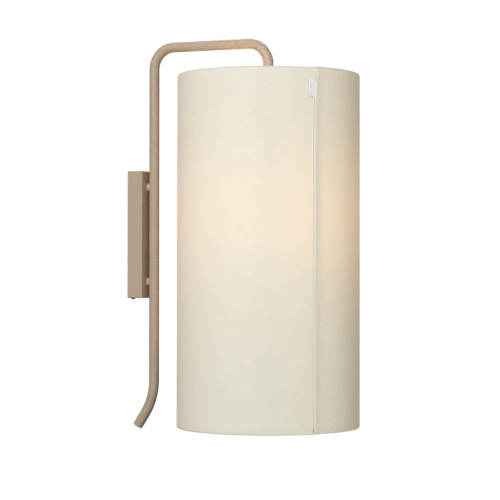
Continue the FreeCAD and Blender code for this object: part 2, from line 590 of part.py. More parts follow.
def glass_outline(inset):
    """Half outline of the glass from the neck's mouth to the bottom of the globe."""
    r_globe = size("bulb_dia") / 2 - inset
    r_neck = size("bulb_neck") / 2 - inset
    cap_foot = (size("bulb_contact_thick") + size("insulator_height")
                + size("bulb_cap_length"))
    mouth = -(tip_drop + cap_foot - 4)
    centre = -(tip_drop + size("bulb_length") - size("bulb_dia") / 2)
    meet = math.radians(24)
    side_pt = Vector(r_globe * math.cos(meet), 0, centre + r_globe * math.sin(meet))
    low = Vector(0, 0, centre - r_globe)
    right = Vector(r_globe * math.cos(-meet), 0, centre - r_globe * math.sin(meet))
    neck_low = Vector(r_neck, 0, mouth - 8)
    waist = Part.BezierCurve()
    slope = Vector(-math.sin(meet), 0, math.cos(meet))
    waist.setPoles([side_pt, side_pt + slope * 17, neck_low - Vector(0, 0, 14), neck_low])
    return Vector(r_neck, 0, mouth), neck_low, waist, side_pt, right, low


def glass_shape():
    edges = []
    ends = []
    for inset in (0.0, size("glass_wall")):
        mouth, neck_low, waist, side_pt, right, low = glass_outline(inset)
        edges += [Part.LineSegment(mouth, neck_low).toShape(), waist.toShape(),
                  Part.Arc(side_pt, right, low).toShape()]
        ends.append((mouth, low))
    edges.append(Part.LineSegment(ends[0][0], ends[1][0]).toShape())
    edges.append(Part.LineSegment(ends[0][1], ends[1][1]).toShape())
    wire = Part.Wire(Part.sortEdges(edges)[0])
    return Part.Face(wire).revolve(Vector(0, 0, 0), Vector(0, 0, 1), 360)


glass = solid_node("bulb_glass", glass_shape())
on_axis(glass)

# ---------------------------------------------------------------- shade
# The sheet is wound once round the rings: its outer end laps over its inner end by
# lap_angle, standing off by the turned-in strip and the tape, and that step dies away
# round the turn. Turns are counted from the lap's edge, which faces the room on the -X
# side, counterclockwise seen from above.
shade_top = size("arm_rise") - size("shade_top_gap")
shade_low = shade_top - size("shade_height")
base_r = size("shade_dia") / 2
lap_step = size("cloth") * 2 + size("tape")
glue = size("glue_line")
ring_lift = size("ring_wire") / 2 + size("liner") + size("cloth") + 2 * glue


def base_radius(level):
    """Radius of the inner end of the sheet: it widens towards the bottom."""
    share = (shade_top - level) / size("shade_height")
    return base_r + size("shade_flare") / 2 * max(0.0, share)


def heading(turn):
    """Unit vector from the axis; turn is in degrees from the lap's edge."""
    a = math.radians(270 - size("seam_angle") + turn)
    return Vector(math.cos(a), math.sin(a), 0)


def sheet_point(turn, level, depth):
    """A point on the wound sheet, depth under its outer face."""
    step = lap_step * max(0.0, 1 - turn / 360.0)
    return heading(turn) * (base_radius(level) + step - depth) + Vector(0, 0, level)


def sheet_section(level, start, stop, outer, inner):
    count = 96
    shares = [k / count for k in range(count + 1)]
    # the points stand closer together towards both ends, where the curve is free
    turns = [start + (stop - start) * (u - 0.9 * math.sin(2 * math.pi * u) / (2 * math.pi))
             for u in shares]
    outside = [sheet_point(t, level, outer) for t in turns]
    within = [sheet_point(t, level, inner) for t in turns]
    faces = []
    for line in (outside, within):
        curve = Part.BSplineCurve()
        curve.interpolate(line)
        faces.append(curve.toShape())
    first = Part.LineSegment(outside[0], within[0]).toShape()
    last = Part.LineSegment(outside[-1], within[-1]).toShape()
    return Part.Wire([faces[0], last, faces[1], first])


def wound(low, high, start, stop, outer, inner):
    sections = [sheet_section(z, start, stop, outer, inner) for z in (low, high)]
    return Part.makeLoft(sections, True, True)


def on_shade(item):
    """Shade pieces are drawn about their own axis and moved out to the lampholder's."""
    return place(item, y="-" + AXIS)


ring_top_z = shade_top - ring_lift
ring_low_z = shade_low + ring_lift
cloth, liner = size("cloth"), size("liner")
lap = size("lap_angle")
on_shade(solid_node("shade_cloth", wound(ring_low_z, ring_top_z, 0, 360 + lap, 0, cloth)))
on_shade(solid_node("shade_liner", wound(ring_low_z, ring_top_z, lap, 360 + lap, cloth + glue,
                                         cloth + glue + liner)))
on_shade(solid_node("lap_turn_in", wound(ring_low_z, ring_top_z, 0, lap, cloth + glue,
                                         2 * cloth - glue)))
show = 360 - math.degrees(size("tape_show") / base_r)
on_shade(solid_node("lap_tape", wound(ring_low_z, ring_top_z, show, 360 + lap - 0.5, -glue,
                                      glue - size("tape"))))


def wire_ring(label, ring_z_expr, radius_expr):
    item = node(doc.addObject("Part::Torus", label), label)
    bind(item, Radius1=radius_expr, Radius2="dims.ring_wire / 2")
    return place(item, y="-" + AXIS, z=ring_z_expr)


LIFT = "(dims.ring_wire / 2 + dims.liner + dims.cloth + 2 * dims.glue_line)"
SHADE_TOP = "(dims.arm_rise - dims.shade_top_gap)"
wire_ring("shade_top_ring", SHADE_TOP + " - " + LIFT, "dims.shade_dia / 2 - " + LIFT)
wire_ring("shade_bottom_ring", SHADE_TOP + " - dims.shade_height + " + LIFT,
          "dims.shade_dia / 2 + dims.shade_flare / 2 * (1 - " + LIFT + " / dims.shade_height) - " + LIFT)


def hem_shape(ring_z, outer_r, sign):
    """The sheet's edge turned over a ring and tucked under it."""
    mid_r = outer_r - ring_lift
    big, small = ring_lift, ring_lift - cloth
    far = math.radians(size("hem_turn"))

    def at(radius, angle):
        return Vector(mid_r + radius * math.cos(angle), 0,
                      ring_z + sign * radius * math.sin(angle))
    edges = [
        Part.Arc(at(big, 0), at(big, far / 2), at(big, far)).toShape(),
        Part.LineSegment(at(big, far), at(small, far)).toShape(),
        Part.Arc(at(small, far), at(small, far / 2), at(small, 0)).toShape(),
        Part.LineSegment(at(small, 0), at(big, 0)).toShape()]
    return Part.Face(Part.Wire(edges)).revolve(Vector(0, 0, 0), Vector(0, 0, 1), 360)


def capsule_path(points, radius):
    """A wire of straight runs with one tangent arc at each inner point."""
    pieces = []
    start = points[0]
    for k in range(1, len(points) - 1):
        before = (points[k - 1] - points[k]).normalize()
        after = (points[k + 1] - points[k]).normalize()
        half = before.getAngle(after) / 2
        r = radius[k - 1]
        back = r / math.tan(half)
        enter, leave = points[k] + before * back, points[k] + after * back
        centre = points[k] + (before + after).normalize() * (r / math.sin(half))
        middle = centre + (points[k] - centre).normalize() * r
        pieces.append(Part.LineSegment(start, enter).toShape())
        pieces.append(Part.Arc(enter, middle, leave).toShape())
        start = leave
    pieces.append(Part.LineSegment(start, points[-1]).toShape())
    return Part.Wire(pieces)


def round_sweep(path, dia, name):
    """A round solid along a path; its volume is compared with section times length."""
    first = path.Edges[0]
    along = first.tangentAt(first.FirstParameter)
    disc = Part.Wire(Part.makeCircle(dia / 2, first.valueAt(first.FirstParameter), along))
    solid = path.makePipeShell([disc], True, False, 0)
    ideal = math.pi * dia * dia / 4 * path.Length
    print("%s length %.1f volume ratio %.4f" % (name, path.Length, solid.Volume / ideal))
    return solid


fitter_z = (tube_end - size("cap_height") - size("collar_thick") - size("face_slack")
            - size("fitter_thick"))
top_ring_r = base_r - ring_lift
wire_half = size("ring_wire") / 2
foot_z = fitter_z + size("fitter_thick") + wire_half - size("weld_sink")
foot_r = size("fitter_dia") / 2 - size("arm_foot")


def arm_path(turn):
    ray = heading(turn)
    points = [
        ray * top_ring_r + Vector(0, 0, ring_top_z),
        ray * (top_ring_r - size("arm_run")) + Vector(0, 0, ring_top_z),
        ray * (size("fitter_dia") / 2 + 2) + Vector(0, 0, foot_z),
        ray * foot_r + Vector(0, 0, foot_z)]
    bend_low = min(size("arm_bend"), size("arm_foot"))
    return capsule_path(points, [size("arm_bend"), bend_low])


fitter_disc = doc.addObject("Part::Cylinder", "fitter_disc")
bind(fitter_disc, Radius="dims.fitter_dia / 2", Height="dims.fitter_thick")
fitter_hole = doc.addObject("Part::Cylinder", "fitter_hole")
bind(fitter_hole, Radius="dims.skirt_dia / 2 + dims.fitter_slack", Height="dims.fitter_thick")
fitter = node(doc.addObject("Part::Cut", "fitter_ring"), "fitter_ring")
fitter.Base, fitter.Tool = fitter_disc, fitter_hole
on_axis(fitter, FITTER_TOP + " + dims.fitter_thick")

ARM_TURNS = (60.0, 180.0, 300.0)
torus_top = Part.makeTorus(top_ring_r, wire_half, Vector(0, 0, ring_top_z))
disc_solid = Part.makeCylinder(size("fitter_dia") / 2, size("fitter_thick"),
                               Vector(0, 0, fitter_z))
arm_rods = [round_sweep(arm_path(turn), size("ring_wire"), "arm") for turn in ARM_TURNS]
arms = []
for rod in arm_rods:
    cut_rod = rod.cut(torus_top).cut(disc_solid)
    arms.append(max(cut_rod.Solids, key=lambda s: s.Volume))
on_shade(solid_node("spider_arms", Part.makeCompound(arms)))

notches = [round_sweep(arm_path(turn), size("ring_wire") + 0.6, "notch") for turn in ARM_TURNS]
top_hem = hem_shape(ring_top_z, base_r, 1)
for tool in notches:
    top_hem = top_hem.cut(tool)
top_hem = max(top_hem.Solids, key=lambda s: s.Volume)
on_shade(solid_node("hem_top", top_hem))
on_shade(solid_node("hem_bottom", hem_shape(ring_low_z, base_radius(ring_low_z), -1)))

# the blank tab: it comes out from under the lap's edge, flat, so its free edge stands off
label_top = shade_top - size("label_drop")
tab_half, skew = size("label_height") / 2, size("label_skew")
tab_corners = [
    Vector(0, 0, -tab_half), Vector(0, 0, tab_half),
    Vector(-size("label_width"), 0, tab_half + skew),
    Vector(-size("label_width"), 0, -tab_half + skew)]
tab = Part.Face(Part.makePolygon(tab_corners + tab_corners[:1])).extrude(
    Vector(0, size("label_thick"), 0))
seam_dir = heading(0)
across = Vector(-seam_dir.y, seam_dir.x, 0)
turn_to = Rotation(across, seam_dir, Vector(0, 0, 1), "XYZ")
tab_at = seam_dir * (base_radius(label_top) + size("tape") + glue) + Vector(
    0, 0, label_top - tab_half)
label = solid_node("shade_label", tab)
label.Placement = Placement(tab_at, turn_to)
label.setExpression("Placement.Base.y", "%r - %s" % (tab_at.y, AXIS))

# ---------------------------------------------------------------- terminal block and leads
block_low = "-dims.block_rise - dims.block_height / 2"
terminal = new_body("terminal_block")
base = new_sketch(terminal, "XY_Plane", "block_base", block_low)
box_outline(base, "-dims.block_width / 2", "dims.block_width / 2",
            "-dims.bracket_sheet - dims.block_depth", "-dims.bracket_sheet")
pad(terminal, base, "dims.block_height", "block_pad")
poles = new_sketch(terminal, "XY_Plane", "pole_holes", block_low)
for share in ("-1", "0", "1"):
    circle(poles, "dims.sleeve_dia", share + " * dims.pole_pitch", "-dims.pole_out")
pocket(terminal, poles, "dims.block_height", "pole_cut", flip=True)
wellsk = new_sketch(terminal, "XZ_Plane", "clamp_wells",
                    "dims.bracket_sheet + dims.block_depth")
for share in ("-1", "0", "1"):
    for row in ("-", ""):
        circle(wellsk, "dims.clamp_screw_dia + dims.hole_slack", share + " * dims.pole_pitch",
               "-dims.block_rise " + ("- " if row else "+ ") + "dims.clamp_row / 2")
pocket(terminal, wellsk, "dims.bracket_sheet + dims.block_depth - dims.pole_out"
       " - dims.sleeve_dia / 2", "clamp_well_cut")
fixings = new_sketch(terminal, "XZ_Plane", "fixing_holes")
for sign in ("-", ""):
    circle(fixings, "dims.fix_screw_head + dims.hole_slack / 2",
           sign + "dims.pole_pitch / 2", "-dims.block_rise")
pocket(terminal, fixings, "dims.bracket_sheet + dims.block_depth", "fixing_cut", flip=True)


def rod(name, dia, length, x, y, z, turn=None, inner=None):
    """A plain round piece, hollow if it has an inner diameter."""
    outer = doc.addObject("Part::Cylinder", name)
    bind(outer, Radius=dia + " / 2", Height=length)
    item = outer
    if inner:
        hole = doc.addObject("Part::Cylinder", name + "_bore")
        bind(hole, Radius=inner + " / 2", Height=length)
        item = doc.addObject("Part::Cut", name + "_tube")
        item.Base, item.Tool = outer, hole
    if turn:
        item.Placement = Placement(Vector(0, 0, 0), Rotation(Vector(1, 0, 0), turn))
    return place(item, x, y, z)


group("terminal_sleeves", [
    rod("sleeve_%d" % k, "dims.sleeve_dia", "dims.block_height - 4", share + " * dims.pole_pitch",
        "-dims.pole_out", block_low + " + 2", inner="dims.sleeve_bore")
    for k, share in enumerate(("-1", "0", "1"))])
group("clamp_screws", [
    rod("clamp_%d_%d" % (k, n), "dims.clamp_screw_dia", "dims.clamp_screw_thick",
        share + " * dims.pole_pitch", "-dims.pole_out - dims.sleeve_dia / 2",
        "-dims.block_rise " + row + " dims.clamp_row / 2", turn=90)
    for k, share in enumerate(("-1", "0", "1")) for n, row in enumerate(("-", "+"))])


def fixing_screw(name, dia, head, head_thick, grip, x, z):
    """A round-head screw pointing at the wall; grip is what it holds down."""
    body = facing_room(doc.addObject("PartDesign::Body", name))
    turned(body, [("0", "0"), (dia + " / 2", "0"), (dia + " / 2", grip), (head + " / 2", grip),
                  (head + " / 2", grip + " + " + head_thick + " * 0.6"),
                  (head + " / 3", grip + " + " + head_thick), ("0", grip + " + " + head_thick)])
    return place(body, x=x, z=z)


group("block_screws", [
    fixing_screw("block_screw_%d" % k, "dims.fix_screw_dia",
                 "dims.fix_screw_head", "2", "dims.bracket_sheet + dims.block_depth - 3",
                 sign + "dims.pole_pitch / 2", "-dims.block_rise")
    for k, sign in enumerate(("-", ""))])

lug = facing_room(new_body("earth_lug"))
eye = new_sketch(lug, "XY_Plane", "lug_eye", "dims.bracket_sheet")
circle(eye, "dims.lug_ring")
circle(eye, "dims.earth_screw_dia")
pad(lug, eye, "dims.lug_thick", "lug_ring_pad")
barrel = new_sketch(lug, "XZ_Plane", "lug_barrel_ends", "dims.lug_ring / 2 - dims.lug_lift")
BARREL_Z = "(dims.bracket_sheet + dims.lug_lift + dims.lug_barrel_dia / 2)"
circle(barrel, "dims.lug_barrel_dia", "0", BARREL_Z)
circle(barrel, "dims.wire_dia", "0", BARREL_Z)
pad(lug, barrel, "dims.lug_barrel", "lug_barrel_pad")
place(lug, x="dims.earth_side", z="dims.earth_rise")
earth_screw = fixing_screw("earth_screw", "dims.earth_screw_dia", "7", "2.6",
                           "dims.bracket_sheet + dims.lug_thick", "dims.earth_side",
                           "dims.earth_rise")
node(earth_screw, "earth_screw")

clamp = new_body("lead_clamp")
clamp_base = new_sketch(clamp, "XY_Plane", "clamp_base", "dims.clamp_rise - dims.clamp_height / 2")
CLAMP_LEFT = "-(dims.lead_side + dims.lead_dia / 2 + 1.5)"
box_outline(clamp_base, CLAMP_LEFT, CLAMP_LEFT + " + dims.clamp_width",
            "-dims.bracket_sheet - dims.clamp_depth", "-dims.bracket_sheet")
pad(clamp, clamp_base, "dims.clamp_height", "clamp_pad")
lead_hole = new_sketch(clamp, "XY_Plane", "lead_hole", "dims.clamp_rise - dims.clamp_height / 2")
circle(lead_hole, "dims.lead_dia", "-dims.lead_side", "-dims.pole_out")
pocket(clamp, lead_hole, "dims.clamp_height", "lead_hole_cut", flip=True)
CLAMP_SCREW_X = "-(dims.lead_side - dims.lead_dia - dims.fix_screw_dia / 2)"
clamp_drill = new_sketch(clamp, "XZ_Plane", "clamp_drill")
circle(clamp_drill, "dims.fix_screw_dia", CLAMP_SCREW_X, "dims.clamp_rise")
pocket(clamp, clamp_drill, "dims.bracket_sheet + dims.clamp_depth", "clamp_drill_cut", flip=True)
clamp_screw = fixing_screw("lead_clamp_screw", "dims.fix_screw_dia", "5.5", "2",
                           "dims.bracket_sheet + dims.clamp_depth", CLAMP_SCREW_X,
                           "dims.clamp_rise")
node(clamp_screw, "lead_clamp_screw")

# inner lead: up beside the cable hole, through the clamp and the upper stand-off's bore,
# up the tube, along the arm and down to the lampholder
pole_y, side_x = -size("pole_out"), -size("lead_side")
block_top = -size("block_rise") + size("block_height") / 2
port_z = size("housing_height") / 2 - size("standoff_inset")
lead_start = Vector(side_x, pole_y, block_top + 18)
lead_foot_z = tube_end - size("nipple_out") + 1.0
lead_points = [
    lead_start,
    Vector(side_x, pole_y, size("clamp_rise") + size("clamp_height") / 2 + 3),
    Vector(0, pole_y - 0.5, port_z - 12),
    Vector(0, pole_y - 0.5, port_z),
    Vector(0, -out, port_z),
    Vector(0, -out, top),
    Vector(0, -axis_out, top),
    Vector(0, -axis_out, lead_foot_z)]
lead_radii = [8.0, 9.0, 9.0, 9.0, bend, bend]


def lead_route():
    return capsule_path(lead_points, lead_radii)


solid_node("inner_lead", round_sweep(lead_route(), size("lead_dia"), "inner_lead"))


def core(points, radii, name):
    return round_sweep(capsule_path(points, radii), size("wire_dia"), name)


core_gap = size("wire_dia") / 2 + 0.05
wall_cores = []
for pole, shift in ((-1, -core_gap), (0, core_gap)):
    pole_x = pole * size("pole_pitch")
    end_x = side_x + shift
    low, high = block_top - 9.0, lead_start.z
    wall_cores.append(core([
        Vector(pole_x, pole_y, low), Vector(pole_x, pole_y, block_top + 3.5),
        Vector(end_x, pole_y, high - 4.5), Vector(end_x, pole_y, high)], [2.5, 2.5], "core"))
solid_node("lead_cores_wall", Part.makeCompound(wall_cores))
lamp_cores = []
well_x = size("socket_bore") / 5
well_z = tube_end - size("cap_height") + size("spigot_height") + 2 - size("carrier_top")
for sign in (-1, 1):
    lamp_cores.append(core([
        Vector(sign * core_gap, -axis_out, lead_foot_z),
        Vector(sign * core_gap, -axis_out, lead_foot_z - 2.2),
        Vector(sign * well_x, -axis_out, well_z + size("carrier_top") + 1.6),
        Vector(sign * well_x, -axis_out, well_z)], [1.6, 1.6], "core"))
solid_node("lead_cores_lamp", Part.makeCompound(lamp_cores))

earth_x, earth_z = size("earth_side"), size("earth_rise")
lug_y = -(size("bracket_sheet") + size("lug_lift") + size("lug_barrel_dia") / 2)
lug_low = earth_z - size("lug_ring") / 2 + size("lug_lift") - size("lug_barrel")
solid_node("earth_wire", core([
    Vector(size("pole_pitch"), pole_y, block_top - 9.0),
    Vector(size("pole_pitch"), pole_y, block_top + 9.0),
    Vector(earth_x, lug_y, lug_low - 10.0),
    Vector(earth_x, lug_y, lug_low + 5.0)], [8.0, 8.0], "earth_wire"))

# ---------------------------------------------------------------- check and write
doc.recompute()
for item in doc.Objects:
    if "Invalid" in item.State or "Error" in item.State:
        raise ValueError("%s failed: %s" % (item.Label, item.State))
for item in nodes:
    shape = item.Shape
    if shape.isNull() or not shape.isValid() or not shape.Solids:
        raise ValueError("%s has no valid solid" % item.Label)
os.makedirs("parts", exist_ok=True)
for item in nodes:
    item.Shape.exportStep("parts/%s.step" % item.Label)
    box = item.Shape.BoundBox
    print("%-20s solids %d volume %10.1f  x %.1f %.1f y %.1f %.1f z %.1f %.1f" % (
        item.Label, len(item.Shape.Solids), item.Shape.Volume, box.XMin, box.XMax,
        box.YMin, box.YMax, box.ZMin, box.ZMax))
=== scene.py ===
import json
import math

import bmesh
import bpy
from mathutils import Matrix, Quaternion, Vector


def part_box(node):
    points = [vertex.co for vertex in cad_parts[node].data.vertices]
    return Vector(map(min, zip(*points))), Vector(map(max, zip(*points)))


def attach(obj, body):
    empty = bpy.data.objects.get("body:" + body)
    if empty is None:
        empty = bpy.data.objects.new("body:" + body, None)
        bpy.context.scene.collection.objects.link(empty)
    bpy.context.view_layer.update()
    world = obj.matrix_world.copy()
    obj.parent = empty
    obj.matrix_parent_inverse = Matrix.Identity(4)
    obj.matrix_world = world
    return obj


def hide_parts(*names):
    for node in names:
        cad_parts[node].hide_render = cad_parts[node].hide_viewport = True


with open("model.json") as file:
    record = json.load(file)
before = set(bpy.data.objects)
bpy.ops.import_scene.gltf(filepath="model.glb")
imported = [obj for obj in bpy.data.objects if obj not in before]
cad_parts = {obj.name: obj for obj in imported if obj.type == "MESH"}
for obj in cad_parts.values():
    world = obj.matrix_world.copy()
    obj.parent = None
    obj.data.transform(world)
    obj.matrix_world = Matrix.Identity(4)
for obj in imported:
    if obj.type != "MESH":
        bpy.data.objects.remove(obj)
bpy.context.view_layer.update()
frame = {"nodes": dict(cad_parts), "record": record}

scene = bpy.context.scene
nodes = frame["nodes"]
MM = 0.001

# ------------------------------------------------------------------ camera
# Eye level with the shade, looking along the wall from its left.
SIGHT = Vector((0.91801, 0.39656, 0.0))
EYE = Vector((-2.6977, -1.3704, -0.0577))
SENSOR_MM, LENS_MM = 36.0, 134.351
FRAME_SHIFT = 0.04124           # the frame reaches higher above the eye's line than below it
ROLL = 0.083                    # degrees


def add_camera():
    lens = bpy.data.cameras.new("camera")
    lens.sensor_width, lens.lens, lens.shift_y = SENSOR_MM, LENS_MM, FRAME_SHIFT
    camera = bpy.data.objects.new("camera", lens)
    scene.collection.objects.link(camera)
    camera.location = EYE
    camera.rotation_mode = "QUATERNION"
    level = SIGHT.to_track_quat("-Z", "Y")
    camera.rotation_quaternion = level @ Quaternion((0, 0, 1), math.radians(ROLL))
    scene.camera = camera


# ------------------------------------------------------------------ recipes for finishes
# sockets of a Mix node that mixes colours
SHARE, FIRST, SECOND, MIXED = 0, 6, 7, 2


class Num:
    """A number that varies over a surface; arithmetic on it adds Math nodes."""

    def __init__(self, recipe, socket):
        self.recipe, self.socket = recipe, socket

    def _with(self, operation, *terms):
        return self.recipe.math(operation, *terms)

    def __add__(self, other):
        return self._with("ADD", self, other)

    def __radd__(self, other):
        return self._with("ADD", other, self)

    def __sub__(self, other):
        return self._with("SUBTRACT", self, other)

    def __rsub__(self, other):
        return self._with("SUBTRACT", other, self)

    def __mul__(self, other):
        return self._with("MULTIPLY", self, other)

    def __rmul__(self, other):
        return self._with("MULTIPLY", other, self)

    def __truediv__(self, other):
        return self._with("DIVIDE", self, other)

    def __rtruediv__(self, other):
        return self._with("DIVIDE", other, self)

    def __pow__(self, other):
        return self._with("POWER", self, other)

    def __gt__(self, other):
        return self._with("GREATER_THAN", self, other)

    def __abs__(self):
        return self._with("ABSOLUTE", self)

    def sine(self):
        return self._with("SINE", self)

    def clipped(self):
        return self.recipe.math("ADD", self, 0.0, clamp=True)


class Recipe:
    """The nodes of one finish."""

    def __init__(self, name):
        self.material = bpy.data.materials.new(name)
        self.material.use_nodes = True
        self.tree = self.material.node_tree
        self.tree.nodes.clear()
        self.place = self.node("TexCoord").outputs["Object"]

    def node(self, kind, settings=None, inputs=None):
        """One shader node: its settings first, then the values or links of its sockets."""
        made = self.tree.nodes.new("ShaderNode" + kind)
        for key, value in (settings or {}).items():
            setattr(made, key, value)
        for key, value in (inputs or {}).items():
            if isinstance(value, Num):
                value = value.socket
            if isinstance(value, bpy.types.NodeSocket):
                self.tree.links.new(value, made.inputs[key])
            else:
                made.inputs[key].default_value = value
        return made

    def math(self, operation, *terms, clamp=False):
        settings = {"operation": operation, "use_clamp": clamp}
        return Num(self, self.node("Math", settings, dict(enumerate(terms))).outputs[0])

    def axes(self, where=None):
        """The three numbers of a place, by default the place on the piece."""
        split = self.node("SeparateXYZ", None, {0: where or self.place})
        return [Num(self, split.outputs[k]) for k in range(3)]

    def stretched(self, scale, where=None):
        return self.node("Mapping", None, {"Vector": where or self.place, "Scale": scale}).outputs[0]

    def noise(self, scale, detail=2.0, where=None, rough=0.5):
        made = self.node("TexNoise", None, {
            "Vector": where or self.place, "Scale": scale, "Detail": detail, "Roughness": rough})
        return Num(self, made.outputs[0])

    def mix(self, share, first, second, blend="MIX"):
        settings = {"data_type": "RGBA", "blend_type": blend}
        colours = {SHARE: share, FIRST: first, SECOND: second}
        return self.node("Mix", settings, colours).outputs[MIXED]

    def bump(self, height, depth, strength=1.0):
        return self.node("Bump", None, {
            "Height": height, "Distance": depth, "Strength": strength}).outputs[0]

    def finish(self, inputs):
        shader = self.node("BsdfPrincipled", None, inputs)
        out = self.node("OutputMaterial")
        self.tree.links.new(shader.outputs[0], out.inputs[0])
        return self.material


def rgb(red, green, blue):
    return (red, green, blue, 1.0)


# ------------------------------------------------------------------ finishes
BLACK = rgb(0, 0, 0)
WARM = rgb(1.0, 0.46, 0.17)
GLOW_Z = 0.031                  # height of the bulb's brightest part
SHADE_R = 0.1425                # the shade's radius, for its glow


def steady(value):
    """A coordinate read from the frame, to a hundredth of a millimetre."""
    return round(value, 5)


bulb_low, bulb_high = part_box("bulb_glass")
cloth_low, cloth_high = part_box("shade_cloth")
AXIS_Y = steady((bulb_low.y + bulb_high.y) / 2)
RING_LOW, RING_TOP = steady(cloth_low.z), steady(cloth_high.z)


def lamp_falloff(height):
    """How much of the bulb's light reaches the shade's wall, from 1 beside the bulb."""
    away = (height - GLOW_Z) / SHADE_R
    return (away * away + 1.0) ** -1.5


def powder_coat():
    """Fine sand-textured matt paint."""
    mix = Recipe("taupe_powder_coat")
    sand = mix.noise(820.0, 3.0, rough=0.62)
    coarse = mix.noise(330.0, 2.0)
    cloud = mix.noise(18.0, 2.0)
    tone = (sand * 0.76 + coarse * 0.14 + cloud * 0.10 - 0.5) * 3.6 + 0.5
    colour = mix.mix(tone.clipped(), rgb(0.410, 0.326, 0.242), rgb(0.612, 0.500, 0.384))
    return mix.finish({
        "Base Color": colour, "Roughness": (sand * 0.24 + 0.32).clipped(),
        "Specular IOR Level": 0.22,
        "Normal": mix.bump(sand * 0.7 + coarse * 0.5, 0.00022, 0.75)})


def cloth():
    """Plain-woven cotton on a stiff sheet, lit from behind by the bulb."""
    mix = Recipe("ecru_shade_cloth")
    cut = mix.node("UVMap", {"uv_map": "cut"}).outputs[0]
    along, up, _ = mix.axes(cut)
    _, across, height = mix.axes()

    # the weave: yarns over and under each other, thick places in them, flecks
    pitch = 0.00072
    warp = (along * (math.pi / pitch)).sine()
    weft = (up * (math.pi / pitch)).sine()
    over = (warp * weft) > 0.0
    yarn = abs(warp) * over + abs(weft) * (1.0 - over)
    slub_across = mix.noise(1.0, 2.0, mix.stretched((70.0, 1500.0, 1.0), cut))
    slub_down = mix.noise(1.0, 2.0, mix.stretched((1500.0, 70.0, 1.0), cut))
    fleck = mix.noise(620.0, 2.0, cut)
    cloud = mix.noise(26.0, 3.0, cut)
    thread = slub_across * 0.34 + slub_down * 0.34 + fleck * 0.2 + yarn * 0.12

    # stronger grain on the way round past the lap: painted shading of the weave's relief under
    # grazing light
    grit_full, grit_end, grit_fade = 0.06, 0.16, 0.08
    past_lap = (along / grit_full).clipped() * (1.0 - ((along - grit_end) / grit_fade).clipped())
    # painted shading of the weave's relief, strongest past the lap
    relief_shade_grain = mix.noise(1.0, 1.0, mix.stretched((190.0, 600.0, 1.0), cut))
    tone = ((thread - 0.5) * 2.3 + (cloud - 0.5) * 0.35
            + (relief_shade_grain - 0.5) * (past_lap * 3.2 + 0.3) + 0.5).clipped()
    plain = mix.mix(tone, rgb(0.618, 0.617, 0.552), rgb(0.742, 0.742, 0.672))

    # painted highlight on the fold's edge, then painted shade on the strip where the lap is three
    # layers deep, and faint painted shade past the lap
    fold_wide, fold_fade = 0.0026, 0.0016
    strip_wide, strip_fade = 0.0050, 0.0130
    shadow_wide = 0.16
    outside = along > -0.0005
    fold = 1.0 - ((along - fold_wide) / fold_fade).clipped()
    strip = (1.0 - ((along - strip_wide) / strip_fade).clipped()) * outside
    lap_shadow = (1.0 - (along / shadow_wide).clipped()) * outside
    # faint painted shade over the cloth past the lap's edge
    settled = mix.mix(lap_shadow * 0.05, plain, rgb(0.36, 0.35, 0.32))
    # painted shade: the three-layer strip is greyer where less light comes through
    settled = mix.mix(strip * 0.06, settled, rgb(0.40, 0.43, 0.43))
    # painted highlight along the fold's edge
    settled = mix.mix(fold * 0.6, settled, rgb(0.80, 0.84, 0.83))

    # the upper hem lets no light through, and the lower one is lit from the floor
    hem = ((height - RING_TOP) / 0.0018).clipped()
    under = ((RING_LOW - height) / 0.0015).clipped()
    # painted shade: the upper hem's colour is darkened too
    settled = mix.mix(hem * 0.35, settled, rgb(0.40, 0.40, 0.34))

    # the bulb's light through the cloth, and the room's light on it
    to_wall = (across - AXIS_Y) / SHADE_R
    near_room = ((-0.4 - to_wall) / 0.55).clipped()
    near_wall = ((to_wall - 0.2) / 0.60).clipped()
    shine = lamp_falloff(height) * (1.0 + near_room * 0.45)
    even = (0.92 + tone * 0.16) * (1.0 - hem * 0.45)
    through = (shine * (1.0 - strip * 0.60) * 0.165 + near_wall * 0.055) * even
    lit = (1.0 - strip * 0.2 + under * 0.5) * even * (near_room * 0.42 + 0.43)
    bulb = mix.mix(through.clipped(), BLACK, WARM)
    room = mix.mix(lit, BLACK, rgb(0.380, 0.360, 0.280))
    relief = yarn * 0.6 + slub_across * 0.5 + slub_down * 0.5
    return mix.finish({
        "Base Color": settled, "Roughness": 0.92, "Specular IOR Level": 0.18,
        "Sheen Weight": 0.12, "Sheen Roughness": 0.6,
        "Emission Color": mix.mix(1.0, bulb, room, "ADD"), "Emission Strength": 1.0,
        "Normal": mix.bump(relief, 0.00012, 0.6)})


def liner():
    """Smooth white sheet inside the cloth; only its face towards the bulb is lit."""
    mix = Recipe("white_liner_sheet")
    along, across, height = mix.axes()
    haze = mix.noise(22.0, 2.0)
    face_x, face_y, _ = mix.axes(mix.place.node.outputs["Normal"])
    inner = (0.0 - (face_x * along + face_y * (across - AXIS_Y))) > 0.0
    shine = lamp_falloff(height) * 0.45 + 0.03
    return mix.finish({
        "Base Color": mix.mix(haze, rgb(0.80, 0.79, 0.74), rgb(0.88, 0.87, 0.83)),
        "Roughness": (haze * 0.15 + 0.38).clipped(),
        "Emission Color": mix.mix((shine * inner).clipped(), BLACK, rgb(1.0, 0.66, 0.36)),
        "Emission Strength": 1.0, "Normal": mix.bump(mix.noise(140.0), 0.0001, 0.3)})


